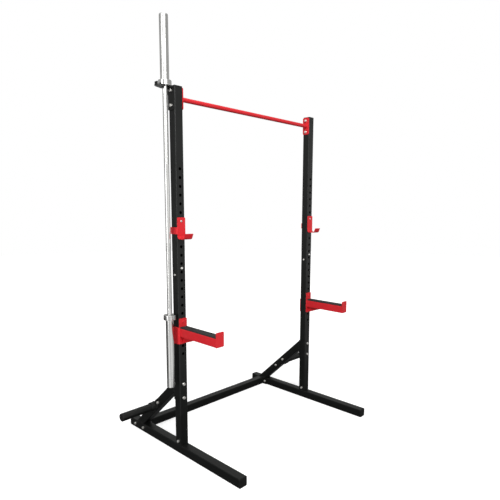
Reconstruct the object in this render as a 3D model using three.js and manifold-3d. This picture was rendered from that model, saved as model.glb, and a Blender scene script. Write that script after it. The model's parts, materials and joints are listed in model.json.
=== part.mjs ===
// Half rack with pull-up bar, plate pegs, J-hooks, safety arms and a barbell
// hanging on a side holder.  Millimetres, +Z up, +X to the right, -Y is the
// lifter's side (the front).  The pieces are laid out from a point on the floor
// midway between the two uprights, and moved at the end so that the origin is
// the middle of the footprint.
import * as THREE from 'three';
import { mergeVertices } from 'three/addons/utils/BufferGeometryUtils.js';
import Module from 'manifold-3d';

const wasm = await Module();
wasm.setup();

// ---------------------------------------------------------------- dimensions
const TUBE = 56;            // outside size of the square tube
const WALL = 3;             // tube wall
const TUBE_R = 5;           // outside corner radius
const HALF = TUBE / 2;
const SPREAD = 615;         // half the distance between upright centres
const GAP = 0.4;            // clearance between pieces that rest on each other
const TOP = 2200;           // overall frame height
const CAP_T = 4;            // visible thickness of the tube plugs
const FOOT_FRONT = -550;    // front end of a foot, plug included
const FOOT_REAR = 562;      // rear end of a foot, plug included
const CROSS_Y = 451;        // centre of the rear crossmember
const FLANGE_T = 6;         // flange plates and gusset plates
const FLANGE_Y0 = 384, FLANGE_Y1 = 513;
const FLANGE_BOLTS = [400, 497];
const SPLICE_Z = 1153;      // joint between lower and upper upright
const SPLICE_FRONT_Z = 1165, SPLICE_SIDE_Z = 1124;
const STUB_TOP = 132;       // spigot on the foot that enters the upright
const BASE_BOLT_Z = 76;
const HOLE_R = 7.5, HOLE_PITCH = 50, HOLE_TOP = 1741, HOLE_COUNT = 23;
const BRACE_RUN = 0.921;    // fall of the brace per unit of depth
const BRACE_Z0 = 458;       // height of the brace centre line at Y = 0
const BRACE_BOLTS = [448, 360];
const PEG_Y = 243, PEG_LEN = 892, PEG_R = 25, PEG_BOSS_R = 31, PEG_BOSS_X = 683;
const PEG_BOLT = 50;        // bolt distance from the peg centre along the brace
const PULL_Z = 2134, PULL_R = 13.5, PULL_PLATE_H = 124, PULL_PLATE_R = 12;
const TOP_BOLTS = [2173, 2091];
const BAR_X = -687;         // hanging barbell axis
const BAR_R = 14.25, SLEEVE_R = 25, COLLAR_R = 37.3, COLLAR_H = 29;
const REST_Z = 2188;        // shelf on which the upper collar rests
const BAR_TOP = 2562, BAR_BOTTOM = 444, LOWER_COLLAR_TOP = 890;
const HOOK_PIN_Z = 1441, ARM_PIN_Z = 841, PIN_R = 6.9;
const STEEL = 5;            // bent plate of hooks and safety arms
const ARM_TOP = 804, ARM_BOTTOM = 752, ARM_END = -362, PAD_T = 8;
const BOLT_R = 5, BOLT_HOLE = 5.5, HEX_R = 9.2, WASHER_R = 9.5, WASHER_T = 1.6;

// ------------------------------------------------------------------ materials
const paint = (c, r, m) => new THREE.MeshStandardMaterial({ color: c, roughness: r, metalness: m });
const BLACK = 0x1c1d1c, RED = 0xd01a20, RUBBER = 0x171818, ZINC = 0xc9c8c2, CHROME = 0xd6d6d4, PLASTIC = 0x131313;

// -------------------------------------------------------------------- helpers
function solid(geometry) {
  const g0 = geometry.clone();
  g0.deleteAttribute('normal');
  g0.deleteAttribute('uv');
  const g = mergeVertices(g0, 1e-4);
  return new wasm.Manifold(new wasm.Mesh({
    numProp: 3,
    vertProperties: Float32Array.from(g.attributes.position.array),
    triVerts: Uint32Array.from(g.index.array),
  }));
}
function geometryOf(m) {
  const mesh = m.getMesh();
  const g = new THREE.BufferGeometry();
  g.setAttribute('position', new THREE.BufferAttribute(Float32Array.from(mesh.vertProperties), 3));
  g.setIndex(new THREE.BufferAttribute(Uint32Array.from(mesh.triVerts), 1));
  const flat = g.toNonIndexed();
  flat.computeVertexNormals();
  return flat;
}
// rounded rectangle outline
function roundRect(path, x0, y0, x1, y1, r) {
  path.moveTo(x0 + r, y0);
  path.lineTo(x1 - r, y0); path.absarc(x1 - r, y0 + r, r, -Math.PI / 2, 0, false);
  path.lineTo(x1, y1 - r); path.absarc(x1 - r, y1 - r, r, 0, Math.PI / 2, false);
  path.lineTo(x0 + r, y1); path.absarc(x0 + r, y1 - r, r, Math.PI / 2, Math.PI, false);
  path.lineTo(x0, y0 + r); path.absarc(x0 + r, y0 + r, r, Math.PI, 1.5 * Math.PI, false);
  return path;
}
function extrude(shape, depth, seg = 2) {
  return new THREE.ExtrudeGeometry(shape, { depth, bevelEnabled: false, curveSegments: seg, steps: 1 });
}
// placing an extrusion: 'x' maps (u,v,w) to (w,u,v); 'y' maps to (u,w,v); 'z' keeps it
const BASIS = {
  x: new THREE.Matrix4().makeBasis(new THREE.Vector3(0, 1, 0), new THREE.Vector3(0, 0, 1), new THREE.Vector3(1, 0, 0)),
  z: new THREE.Matrix4(),
};
function along(axis, shape, from, to, seg) {
  const g = extrude(shape, to - from, seg);
  g.translate(0, 0, from);
  if (axis === 'y') {                       // (u,v,w) -> (u,w,v), a mirror, so the winding is turned
    const p = g.attributes.position;
    for (let i = 0; i < p.count; i++) { const y = p.getY(i), z = p.getZ(i); p.setY(i, z); p.setZ(i, y); }
    const idx = [];
    for (let i = 0; i < p.count; i += 3) idx.push(i, i + 2, i + 1);
    g.setIndex(idx);
    return solid(g);
  }
  g.applyMatrix4(BASIS[axis]);
  return solid(g);
}
const rect = (x0, y0, x1, y1, r = 0) => {
  const s = new THREE.Shape();
  if (r > 0) return roundRect(s, x0, y0, x1, y1, r);
  s.moveTo(x0, y0); s.lineTo(x1, y0); s.lineTo(x1, y1); s.lineTo(x0, y1); s.closePath();
  return s;
};
const poly = pts => { const s = new THREE.Shape(); s.moveTo(...pts[0]); pts.slice(1).forEach(p => s.lineTo(...p)); s.closePath(); return s; };
function ring(u0, v0, u1, v1, wall, r) {
  const s = rect(u0, v0, u1, v1, r);
  const h = new THREE.Path();
  h.moveTo(u0 + wall, v0 + wall); h.lineTo(u1 - wall, v0 + wall); h.lineTo(u1 - wall, v1 - wall); h.lineTo(u0 + wall, v1 - wall); h.closePath();
  s.holes.push(h);
  return s;
}
const box = (x0, x1, y0, y1, z0, z1) => {
  const g = new THREE.BoxGeometry(x1 - x0, y1 - y0, z1 - z0);
  g.translate((x0 + x1) / 2, (y0 + y1) / 2, (z0 + z1) / 2);
  return solid(g);
};
// cylinder along an axis, through the point (a,b) of the other two axes
function rod(axis, r, from, to, a, b, seg = 16, turn = 0) {
  const g = new THREE.CylinderGeometry(r, r, to - from, seg, 1);
  if (turn) g.rotateY(turn);
  g.translate(0, (from + to) / 2, 0);      // along +Y
  if (axis === 'y') g.translate(a, 0, b);
  if (axis === 'x') { g.rotateZ(-Math.PI / 2); g.translate(0, a, b); }
  if (axis === 'z') { g.rotateX(Math.PI / 2); g.translate(a, b, 0); }
  return solid(g);
}
function revolve(profile, x, y, seg = 32) {
  const g = new THREE.LatheGeometry(profile.map(p => new THREE.Vector2(p[0], p[1])), seg);
  g.rotateX(Math.PI / 2);
  g.translate(x, y, 0);
  return solid(g);
}
const union = (...m) => m.reduce((a, b) => a.add(b));
const cut = (a, ...m) => m.reduce((x, b) => x.subtract(b), a);

const group = new THREE.Group();
group.name = 'power_cage';
function put(name, m, material) {
  const mesh = new THREE.Mesh(m instanceof THREE.BufferGeometry ? m : geometryOf(m), material);
  mesh.name = name;
  group.add(mesh);
}
function flip(m) {                          // the same piece for the other side
  const g = geometryOf(m);
  const p = g.attributes.position, q = new Float32Array(p.count * 3);
  for (let i = 0; i < p.count; i += 3) {
    [0, 2, 1].forEach((k, j) => {
      q[(i + j) * 3] = -p.getX(i + k); q[(i + j) * 3 + 1] = p.getY(i + k); q[(i + j) * 3 + 2] = p.getZ(i + k);
    });
  }
  const h = new THREE.BufferGeometry();
  h.setAttribute('position', new THREE.BufferAttribute(q, 3));
  h.computeVertexNormals();
  return h;
}
function pair(name, m, ...mat) {
  put(name + '_left', m, paint(...mat));
  put(name + '_right', flip(m), paint(...mat));
}
// hexagon bolt: head at 'from', washers at both ends, nut at 'to'
function bolt(axis, from, to, a, b, nut = true) {
  const s = Math.sign(to - from), w = WASHER_T * s, e = 0.3 * s;
  const seg = (p, q) => (p < q ? [p, q] : [q, p]);
  let m = rod(axis, BOLT_R, ...seg(from - 4 * s, to + (nut ? 4 : 0) * s), a, b, 8);
  m = m.add(rod(axis, WASHER_R, ...seg(from - e - w, from - e), a, b, 12));
  m = m.add(rod(axis, HEX_R, ...seg(from - e - w - 6.4 * s, from - e - w + 0.2 * s), a, b, 6));
  if (nut) {
    m = m.add(rod(axis, WASHER_R, ...seg(to + e, to + e + w), a, b, 12));
    m = m.add(rod(axis, HEX_R, ...seg(to + e + w - 0.2 * s, to + e + w + 7 * s), a, b, 6));
    m = m.add(rod(axis, BOLT_R, ...seg(to + e + w + 4 * s, to + e + w + 9.5 * s), a, b, 10));
  }
  return m;
}

const L = -SPREAD;                          // centre of the left upright
const X0 = L - HALF, X1 = L + HALF;         // its outer and inner faces

// ------------------------------------------------------------------------ feet
const footTube = along('y', ring(X0, 0, X1, TUBE, WALL, TUBE_R), FOOT_FRONT + CAP_T + 1, FOOT_REAR - CAP_T - 1);
const spig = (TUBE - 2 * WALL) / 2 - 0.4;
const stub = along('z', ring(L - spig, -spig, L + spig, spig, WALL, 2), TUBE - 1, STUB_TOP);
let foot = footTube.add(stub);
for (const y of FLANGE_BOLTS) foot = foot.subtract(rod('x', BOLT_HOLE, X0 - 5, X1 + 5, y, HALF, 8));
foot = foot.subtract(rod('x', BOLT_HOLE, X0 - 5, X1 + 5, 0, BASE_BOLT_Z, 8));
pair('foot', foot, BLACK, 0.5, 0.25);

const plugCore = (u0, v0, u1, v1) => ring(u0, v0, u1, v1, 2, 0);
const footPlug = (front) => {
  const s = front ? 1 : -1, y = front ? FOOT_FRONT : FOOT_REAR;
  const face = along('y', rect(X0, 0, X1, TUBE, TUBE_R), ...(front ? [y, y + CAP_T] : [y - CAP_T, y]));
  const i = WALL + 0.4;
  const core = along('y', plugCore(X0 + i, i, X1 - i, TUBE - i), ...(front ? [y + CAP_T - 0.5, y + 24] : [y - 24, y - CAP_T + 0.5]));
  return face.add(core);
};
pair('foot_plug_front', footPlug(true), PLASTIC, 0.6, 0);
pair('foot_plug_rear', footPlug(false), PLASTIC, 0.6, 0);

// ---------------------------------------------------------------- crossmember
{
  const inner = SPREAD - HALF - GAP;        // flange face against the foot
  let c = along('x', ring(CROSS_Y - HALF, 0, CROSS_Y + HALF, TUBE, WALL, TUBE_R), -inner + 1, inner - 1);
  for (const s of [-1, 1]) {
    const a = s < 0 ? -inner : inner - FLANGE_T, b = s < 0 ? -inner + FLANGE_T : inner;
    let f = along('x', rect(FLANGE_Y0, 1, FLANGE_Y1, TUBE - 1, 4), a, b);
    f = f.subtract(rod('x', 14, a - 5, b + 5, CROSS_Y, HALF, 8));   // opening into the tube
    for (const y of FLANGE_BOLTS) f = f.subtract(rod('x', BOLT_HOLE, a - 5, b + 5, y, HALF, 8));
    c = c.add(f);
  }
  put('rear_crossmember', c, paint(BLACK, 0.5, 0.25));
}

// -------------------------------------------------------------------- uprights
const upright = (z0, z1) => {
  let m = along('z', ring(X0, -HALF, X1, HALF, WALL, TUBE_R), z0, z1);
  for (let i = 0; i < HOLE_COUNT; i++) {
    const z = HOLE_TOP - HOLE_PITCH * i;
    if (z > z0 && z < z1) m = m.subtract(rod('y', HOLE_R, -HALF - 4, -HALF + WALL + 4, L, z, 12));
  }
  return m;
};
const Y_BOLT = z => rod('y', BOLT_HOLE, -HALF - 5, HALF + 5, L, z, 8);
const X_BOLT = z => rod('x', BOLT_HOLE, X0 - 5, X1 + 5, 0, z, 8);
let lower = upright(TUBE + GAP, SPLICE_Z - 0.2);
lower = cut(lower, X_BOLT(BASE_BOLT_Z), X_BOLT(SPLICE_SIDE_Z), ...BRACE_BOLTS.map(Y_BOLT));
pair('upright_lower', lower, BLACK, 0.5, 0.25);
let upper = upright(SPLICE_Z + 0.2, TOP - CAP_T - 0.3);
upper = cut(upper, Y_BOLT(SPLICE_FRONT_Z), ...TOP_BOLTS.map(X_BOLT));
pair('upright_upper', upper, BLACK, 0.5, 0.25);

let splice = along('z', ring(L - spig, -spig, L + spig, spig, WALL, 2), 1068, 1230);
splice = cut(splice, Y_BOLT(SPLICE_FRONT_Z), X_BOLT(SPLICE_SIDE_Z));
for (const z of [1191, 1141, 1091]) splice = splice.subtract(rod('y', HOLE_R, -HALF, -HALF + WALL + 8, L, z, 12));
pair('splice_sleeve', splice, 0x2a2b2a, 0.5, 0.4);

{
  const face = along('z', rect(X0, -HALF, X1, HALF, TUBE_R), TOP - CAP_T, TOP);
  const i = WALL + 0.4;
  const core = along('z', plugCore(X0 + i, -HALF + i, X1 - i, HALF - i), TOP - 18, TOP - CAP_T + 0.5);
  pair('upright_plug', face.add(core), PLASTIC, 0.6, 0);
}

// ---------------------------------------------------------------------- braces
const ang = Math.atan(BRACE_RUN), ca = Math.cos(ang), sa = Math.sin(ang);
{
  // a long tube along Y, turned down about X and cut by the plate and the foot
  const g = extrude(ring(X0, -HALF, X1, HALF, WALL, TUBE_R), 900);
  g.translate(0, 0, -150);
  // (u,v,w) -> x=u ; the tube axis w runs down the slope, v is across it
  const m4 = new THREE.Matrix4().makeBasis(
    new THREE.Vector3(1, 0, 0), new THREE.Vector3(0, sa, ca), new THREE.Vector3(0, ca, -sa).multiplyScalar(-1));
  // a right-handed frame: x × (0,sa,ca) = (0,-ca,sa)
  g.applyMatrix4(m4);
  g.translate(0, 34, BRACE_Z0 - 34 * BRACE_RUN);
  // run the tube both ways from the start point
  const g2 = g.clone(); g2.translate(0, 600 * ca, -600 * sa);
  let m = solid(g2);
  m = m.intersect(box(X0 - 5, X1 + 5, HALF + GAP + FLANGE_T - 1, 700, TUBE + GAP, 700));
  let p = along('y', rect(X0, 340, X1, 468, 6), HALF + GAP, HALF + GAP + FLANGE_T);
  m = m.add(p);
  // welded sole plate that sits on the foot, open in the middle
  let sole = along('z', rect(X0 + 1, 393, X1 - 1, 479, 4), TUBE + GAP, TUBE + GAP + 5);
  sole = sole.subtract(rod('z', 12, TUBE - 5, TUBE + 20, L, 436, 8));
  m = m.add(sole);
  m = cut(m, ...BRACE_BOLTS.map(z => rod('y', BOLT_HOLE, HALF - 5, HALF + 14, L, z, 14)));
  for (const s of [-1, 1]) {
    const y = PEG_Y + s * PEG_BOLT * ca, z = BRACE_Z0 - BRACE_RUN * PEG_Y - s * PEG_BOLT * sa;
    m = m.subtract(rod('x', BOLT_HOLE, X0 - 5, X1 + 5, y, z, 8));
  }
  pair('rear_brace', m, BLACK, 0.5, 0.25);
}

// ------------------------------------------------------------- plate pegs
const PEG_Z = BRACE_Z0 - BRACE_RUN * PEG_Y;
{
  // obround plate lying on the brace face
  const s = new THREE.Shape(), r = 26, h = 56;
  const pt = (u, v) => [PEG_Y + u * ca + v * sa, PEG_Z - u * sa + v * ca];
  const pts = [];
  for (let i = 0; i <= 8; i++) { const t = -Math.PI / 2 + Math.PI * i / 8; pts.push(pt(h + (r) * Math.cos(t) * 0.8, r * Math.sin(t))); }
  for (let i = 0; i <= 8; i++) { const t = Math.PI / 2 + Math.PI * i / 8; pts.push(pt(-h + (r) * Math.cos(t) * 0.8, r * Math.sin(t))); }
  let m = along('x', poly(pts), X0 - GAP - FLANGE_T, X0 - GAP);
  m = m.add(rod('x', PEG_BOSS_R, -PEG_BOSS_X, X0 - GAP - FLANGE_T + 1, PEG_Y, PEG_Z, 24));
  m = m.add(rod('x', PEG_R, -PEG_LEN + 4, -PEG_BOSS_X + 2, PEG_Y, PEG_Z, 24));
  m = m.subtract(rod('x', PEG_R - 3, -PEG_LEN - 5, X0 - GAP - FLANGE_T, PEG_Y, PEG_Z, 20));
  for (const k of [-1, 1]) m = m.subtract(rod('x', BOLT_HOLE, X0 - 12, X0 + 2, PEG_Y + k * PEG_BOLT * ca, PEG_Z - k * PEG_BOLT * sa, 8));
  pair('plate_peg', m, BLACK, 0.45, 0.3);
  let c = rod('x', PEG_R, -PEG_LEN, -PEG_LEN + 3.6, PEG_Y, PEG_Z, 24);
  c = c.add(rod('x', PEG_R - 3.5, -PEG_LEN + 3, -PEG_LEN + 22, PEG_Y, PEG_Z, 20));
  c = c.subtract(rod('x', PEG_R - 6, -PEG_LEN + 5, -PEG_LEN + 30, PEG_Y, PEG_Z, 20));
  pair('peg_plug', c, PLASTIC, 0.6, 0);
}

// --------------------------------------------------------------- pull-up bar
{
  const e = SPREAD - HALF - GAP;
  let m = rod('x', PULL_R, -e + 1, e - 1, 0, PULL_Z, 20);
  for (const s of [-1, 1]) {
    const a = s < 0 ? -e : e - STEEL, b = s < 0 ? -e + STEEL : e;
    let p = along('x', rect(-HALF, PULL_Z - PULL_PLATE_H / 2, HALF, PULL_Z + PULL_PLATE_H / 2, PULL_PLATE_R), a, b, 4);
    m = m.add(p);
  }
  m = m.subtract(rod('x', PULL_R - 2.5, -e - 5, e + 5, 0, PULL_Z, 12));
  for (const z of TOP_BOLTS) m = cut(m, rod('x', BOLT_HOLE, -e - 5, -e + 12, 0, z, 14), rod('x', BOLT_HOLE, e - 12, e + 5, 0, z, 8));
  put('pull_up_bar', m, paint(RED, 0.42, 0.1));
}

// ------------------------------------------------------------ barbell holder
{
  const xo = X0 - GAP, t = STEEL;
  // back plate with the wider head that carries the shelf
  let m = along('x', poly([[-HALF, 2066 + 4], [-HALF + 4, 2066], [HALF - 4, 2066], [HALF, 2070], [HALF, 2150], [42, 2154], [42, REST_Z], [-HALF, REST_Z]]), xo - t, xo);
  const outline = new THREE.Shape();
  const b = BAR_X, w = 18;
  outline.moveTo(xo - 1, -HALF); outline.lineTo(xo - 1, 42); outline.lineTo(b + 2, 41); outline.lineTo(b - 41, 30);
  outline.lineTo(b - 59, 12); outline.lineTo(b - 59, -12); outline.lineTo(b - 45, -HALF); outline.lineTo(b - w, -HALF);
  outline.lineTo(b - w, 0); outline.absarc(b, 0, w, Math.PI, 0, true); outline.lineTo(b + w, -HALF);
  outline.closePath();
  m = m.add(along('z', outline, REST_Z - t, REST_Z, 8));
  m = m.add(along('x', rect(-12, REST_Z - t, 12, REST_Z + 15, 2), b - 59 - 0.5, b - 59 + t));
  for (const z of TOP_BOLTS) m = m.subtract(rod('x', BOLT_HOLE, xo - t - 5, xo + 5, 0, z, 8));
  put('barbell_holder', m, paint(BLACK, 0.5, 0.25));
}

// ------------------------------------------------------------------- barbell
{
  const bore = BAR_R + 0.35;
  const shaftTop = BAR_TOP - 14, shaftBottom = BAR_BOTTOM + 14;
  put('barbell_shaft', revolve([[0, shaftBottom], [BAR_R - 0.8, shaftBottom], [BAR_R, shaftBottom + 0.8], [BAR_R, shaftTop - 0.8], [BAR_R - 0.8, shaftTop], [0, shaftTop]], BAR_X, 0, 24),
    paint(CHROME, 0.22, 1));
  const c0 = REST_Z + 0.3;
  put('barbell_sleeve_upper', revolve([
    [bore, c0], [COLLAR_R - 2, c0], [COLLAR_R, c0 + 2], [COLLAR_R, c0 + COLLAR_H - 2], [COLLAR_R - 2, c0 + COLLAR_H],
    [SLEEVE_R, c0 + COLLAR_H], [SLEEVE_R, BAR_TOP - 3], [SLEEVE_R - 3, BAR_TOP], [bore + 3, BAR_TOP], [bore + 3, BAR_TOP - 5], [bore, BAR_TOP - 5], [bore, c0]], BAR_X, 0, 26),
  paint(CHROME, 0.2, 1));
  const t1 = LOWER_COLLAR_TOP;
  put('barbell_sleeve_lower', revolve([
    [bore, t1], [bore, BAR_BOTTOM + 5], [bore + 3, BAR_BOTTOM + 5], [bore + 3, BAR_BOTTOM], [SLEEVE_R - 3, BAR_BOTTOM], [SLEEVE_R, BAR_BOTTOM + 3],
    [SLEEVE_R, t1 - COLLAR_H], [COLLAR_R - 2, t1 - COLLAR_H], [COLLAR_R, t1 - COLLAR_H + 2], [COLLAR_R, t1 - 2], [COLLAR_R - 2, t1], [bore, t1]], BAR_X, 0, 26),
  paint(CHROME, 0.2, 1));
  // retaining discs sunk in the sleeve ends
  const d = bore + 3 - 0.4;
  put('barbell_disc_upper', revolve([[0, BAR_TOP - 4.6], [d, BAR_TOP - 4.6], [d, BAR_TOP - 1.5], [d - 1, BAR_TOP - 0.5], [0, BAR_TOP - 0.5]], BAR_X, 0, 24), paint(ZINC, 0.35, 0.9));
  put('barbell_disc_lower', revolve([[0, BAR_BOTTOM + 0.5], [d - 1, BAR_BOTTOM + 0.5], [d, BAR_BOTTOM + 1.5], [d, BAR_BOTTOM + 4.6], [0, BAR_BOTTOM + 4.6]], BAR_X, 0, 24), paint(ZINC, 0.35, 0.9));
}

// ------------------------------------------- bent straps of hooks and arms
// plan of the strap: along the front, round the outer face and behind the tube
function strap(z0, z1, x1) {
  const g = GAP, t = STEEL, ro = 8, ri = 3;
  const s = new THREE.Shape();
  const xi = X0 - g, xo = xi - t, yf = -HALF - g, yfo = yf - t, yr = HALF + g, yro = yr + t;
  s.moveTo(L, yf); s.lineTo(xi + ri, yf); s.absarc(xi + ri, yf + ri, ri, -Math.PI / 2, Math.PI, true);
  s.lineTo(xi, yr - ri); s.absarc(xi + ri, yr - ri, ri, Math.PI, Math.PI / 2, true);
  s.lineTo(x1, yr); s.lineTo(x1, yro); s.lineTo(xo + ro, yro);
  s.absarc(xo + ro, yro - ro, ro, Math.PI / 2, Math.PI, false);
  s.lineTo(xo, yfo + ro); s.absarc(xo + ro, yfo + ro, ro, Math.PI, 1.5 * Math.PI, false);
  s.lineTo(L, yfo); s.closePath();
  return along('z', s, z0, z1, 3);
}
const YF = -HALF - GAP;                     // back of the front plates
{
  // J profile in depth and height, one strip of plate
  const t = STEEL, s = new THREE.Shape(), a = YF, zt = 1463, r = 15;
  const tilt = Math.atan(16 / 34), cx = a - t - r, cz = 1337 + t + r;
  const c2y = -83, bend = 12;
  s.moveTo(a, zt); s.lineTo(a, cz);
  s.absarc(cx, cz, r + t, 0, -Math.PI / 2, true);
  // second bend turning up into the lip
  const by = c2y, bz = 1337 + t + bend;
  s.lineTo(by, 1337);
  const end = -Math.PI / 2 - (Math.PI / 2 - tilt);
  s.absarc(by, bz, bend + t, -Math.PI / 2, end, true);
  const dir = [-Math.sin(tilt), Math.cos(tilt)];
  const len = 24;
  const o = [by + (bend + t) * Math.cos(end), bz + (bend + t) * Math.sin(end)];
  const i = [by + bend * Math.cos(end), bz + bend * Math.sin(end)];
  s.lineTo(o[0] + dir[0] * len, o[1] + dir[1] * len);
  s.lineTo(i[0] + dir[0] * len, i[1] + dir[1] * len);
  s.lineTo(i[0], i[1]);
  s.absarc(by, bz, bend, end, -Math.PI / 2, false);
  s.lineTo(cx, 1337 + t);
  s.absarc(cx, cz, r, -Math.PI / 2, 0, false);
  s.lineTo(a - t, zt); s.closePath();
  let m = along('x', s, X0, X1, 5);
  // rounded top corners of the plate and rounded tips of the lip
  m = m.intersect(along('y', rect(X0, 1300, X1, zt, 7), -200, 20, 3));
  m = m.add(strap(1366, 1406, X1 - 3));
  m = m.subtract(rod('y', PIN_R + 0.4, YF - STEEL - 3, YF + 3, L, HOOK_PIN_Z, 12));
  pair('j_hook', m, RED, 0.42, 0.1);
  const pin = z => union(
    rod('y', PIN_R, YF - STEEL - 1.5, -4, L, z, 12),
    rod('y', 9.6, YF - STEEL - 5.3, YF - STEEL - 0.3, L, z, 14));
  pair('j_hook_pin', pin(HOOK_PIN_Z), ZINC, 0.35, 0.9);
  pair('safety_pin', pin(ARM_PIN_Z), ZINC, 0.35, 0.9);
}
{
  let m = along('y', rect(X0, 707, X1, 862, 6), YF - STEEL, YF, 3);
  m = m.add(strap(706, 808, X1 - 3));
  let arm = along('y', ring(X0 + 1, ARM_BOTTOM, X1 - 1, ARM_TOP, 3, 4), ARM_END - 1, YF - STEEL + 1);
  arm = arm.subtract(rod('z', 6, ARM_BOTTOM - 5, ARM_BOTTOM + 8, L, ARM_END + 30, 8));
  m = m.add(arm);
  m = m.add(along('y', rect(X0, 753, X1, 838, 6), ARM_END - STEEL, ARM_END, 3));
  m = m.add(along('x', poly([[YF - STEEL + 1, 711], [YF - STEEL + 1, ARM_BOTTOM + 1], [-156, ARM_BOTTOM + 1], [-156, ARM_BOTTOM - 3], [-60, 716]]), L - 3, L + 3));
  m = m.subtract(rod('y', PIN_R + 0.4, YF - STEEL - 3, YF + 3, L, ARM_PIN_Z, 12));
  pair('safety_arm', m, RED, 0.42, 0.1);
  let pad = along('y', rect(X0 + 2, ARM_TOP + 0.3, X1 - 2, ARM_TOP + 0.3 + PAD_T, 2), ARM_END + 0.4, YF - STEEL - 0.4, 3);
  pair('safety_pad', pad, RUBBER, 0.85, 0);
}

// ------------------------------------------------------------------ fasteners
const zinc = [ZINC, 0.35, 0.85];
pair('splice_front_bolt', bolt('y', -HALF, HALF, L, SPLICE_FRONT_Z), ...zinc);
pair('splice_side_bolt', bolt('x', X0, X1, 0, SPLICE_SIDE_Z), ...zinc);
pair('base_bolt', bolt('x', X0, X1, 0, BASE_BOLT_Z), ...zinc);
BRACE_BOLTS.forEach((z, i) => pair('brace_bolt_' + (i ? 'low' : 'high'), bolt('y', -HALF, HALF + GAP + FLANGE_T - 1.5, L, z, false), ...zinc));
FLANGE_BOLTS.forEach((y, i) => pair('crossmember_bolt_' + (i ? 'rear' : 'front'), bolt('x', X0, X1 + GAP + FLANGE_T, y, HALF), ...zinc));
[-1, 1].forEach((k, i) => pair('peg_bolt_' + (i ? 'low' : 'high'),
  bolt('x', X0 - GAP - FLANGE_T, X1, PEG_Y + k * PEG_BOLT * ca, PEG_Z - k * PEG_BOLT * sa), ...zinc));
TOP_BOLTS.forEach((z, i) => {
  const n = 'pull_up_bolt_' + (i ? 'low' : 'high');
  put(n + '_left', bolt('x', X0 - GAP - STEEL, X1 + GAP + STEEL, 0, z), paint(...zinc));
  put(n + '_right', flip(bolt('x', X1 + GAP + STEEL, X0, 0, z)), paint(...zinc));
});

// the feet reach further behind the uprights than in front of them
const SHIFT_Y = -(FOOT_FRONT + FOOT_REAR) / 2;
for (const mesh of group.children) mesh.geometry.translate(0, SHIFT_Y, 0);

export default group;
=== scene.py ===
import json
import math

import bmesh
import bpy
from mathutils import Matrix, Vector


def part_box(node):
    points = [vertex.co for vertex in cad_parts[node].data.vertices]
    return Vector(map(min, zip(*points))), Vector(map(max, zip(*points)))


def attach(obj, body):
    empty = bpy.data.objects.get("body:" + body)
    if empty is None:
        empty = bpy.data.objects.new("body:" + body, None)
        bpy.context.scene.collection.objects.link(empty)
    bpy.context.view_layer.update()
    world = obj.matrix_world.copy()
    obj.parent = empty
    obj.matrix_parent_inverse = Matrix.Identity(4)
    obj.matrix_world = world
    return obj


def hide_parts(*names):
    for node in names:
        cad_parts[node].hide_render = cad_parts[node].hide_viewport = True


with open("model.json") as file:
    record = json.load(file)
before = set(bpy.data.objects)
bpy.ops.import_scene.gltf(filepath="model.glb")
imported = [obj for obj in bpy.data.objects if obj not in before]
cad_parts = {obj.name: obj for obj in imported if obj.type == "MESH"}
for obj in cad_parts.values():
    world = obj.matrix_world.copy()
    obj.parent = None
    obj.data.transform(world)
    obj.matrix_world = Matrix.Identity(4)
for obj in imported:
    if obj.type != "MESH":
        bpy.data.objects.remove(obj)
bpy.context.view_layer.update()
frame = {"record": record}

# ---------------------------------------------------------------- the frame
# All shapes below are laid out in millimetres from a point on the floor midway
# between the uprights: x right, y to the rear, z up.  SY moves them to the frame.
MM = 0.001
_lo, _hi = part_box("upright_lower_left")
SY = (_lo.y + _hi.y) / 2
L = round((_lo.x + _hi.x) / 2 / MM, 2)
TUBE = round((_hi.x - _lo.x) / MM, 2)
HALF, WALL, TR, GAP, STEEL = TUBE / 2, 3.0, 5.0, 0.4, 5.0
X0, X1 = L - HALF, L + HALF


def span(node):
    """A node's box in layout millimetres."""
    lo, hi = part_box(node)
    return ((lo.x / MM, hi.x / MM), ((lo.y - SY) / MM, (hi.y - SY) / MM), (lo.z / MM, hi.z / MM))


# ------------------------------------------------------------- 2-D outlines
def rrect(u0, v0, u1, v1, r, n=6):
    pts = []
    for cu, cv, a0 in ((u1 - r, v0 + r, -90), (u1 - r, v1 - r, 0), (u0 + r, v1 - r, 90), (u0 + r, v0 + r, 180)):
        for i in range(n + 1):
            t = math.radians(a0 + 90 * i / n)
            pts.append((cu + r * math.cos(t), cv + r * math.sin(t)))
    return pts


def circle(cu, cv, r, n=32):
    return [(cu + r * math.cos(2 * math.pi * i / n), cv + r * math.sin(2 * math.pi * i / n)) for i in range(n)]


def arc(cu, cv, r, a0, a1, n):
    out = []
    for i in range(n + 1):
        t = math.radians(a0 + (a1 - a0) * i / n)
        out.append((cu + r * math.cos(t), cv + r * math.sin(t)))
    return out


def hexagon(apothem, n=48):
    pts = []
    for i in range(n):
        t = 2 * math.pi * i / n
        k = (t + math.pi / 6) % (math.pi / 3) - math.pi / 6
        r = apothem / math.cos(k)
        pts.append((r * math.cos(t), r * math.sin(t)))
    return pts


# ------------------------------------------------------------- solid parts
# a part is (points, faces); an outline (u,v) at w goes to x,y,z by its axis
AX = {"x": lambda u, v, w: (w, u, v), "y": lambda u, v, w: (u, w, v), "z": lambda u, v, w: (u, v, w)}


def loft(axis, layers):
    """Closed solid through outlines of equal point count: [(outline, w), ...]."""
    f, n = AX[axis], len(layers[0][0])
    vs, fs = [], []
    for pts, w in layers:
        vs += [f(u, v, w) for u, v in pts]
    for k in range(len(layers) - 1):
        a, b = k * n, (k + 1) * n
        fs += [(a + i, a + (i + 1) % n, b + (i + 1) % n, b + i) for i in range(n)]
    fs += [tuple(range(n - 1, -1, -1)), tuple(range((len(layers) - 1) * n, len(layers) * n))]
    return vs, fs


def prism(axis, outline, a, b):
    return loft(axis, [(outline, a), (outline, b)])


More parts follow.
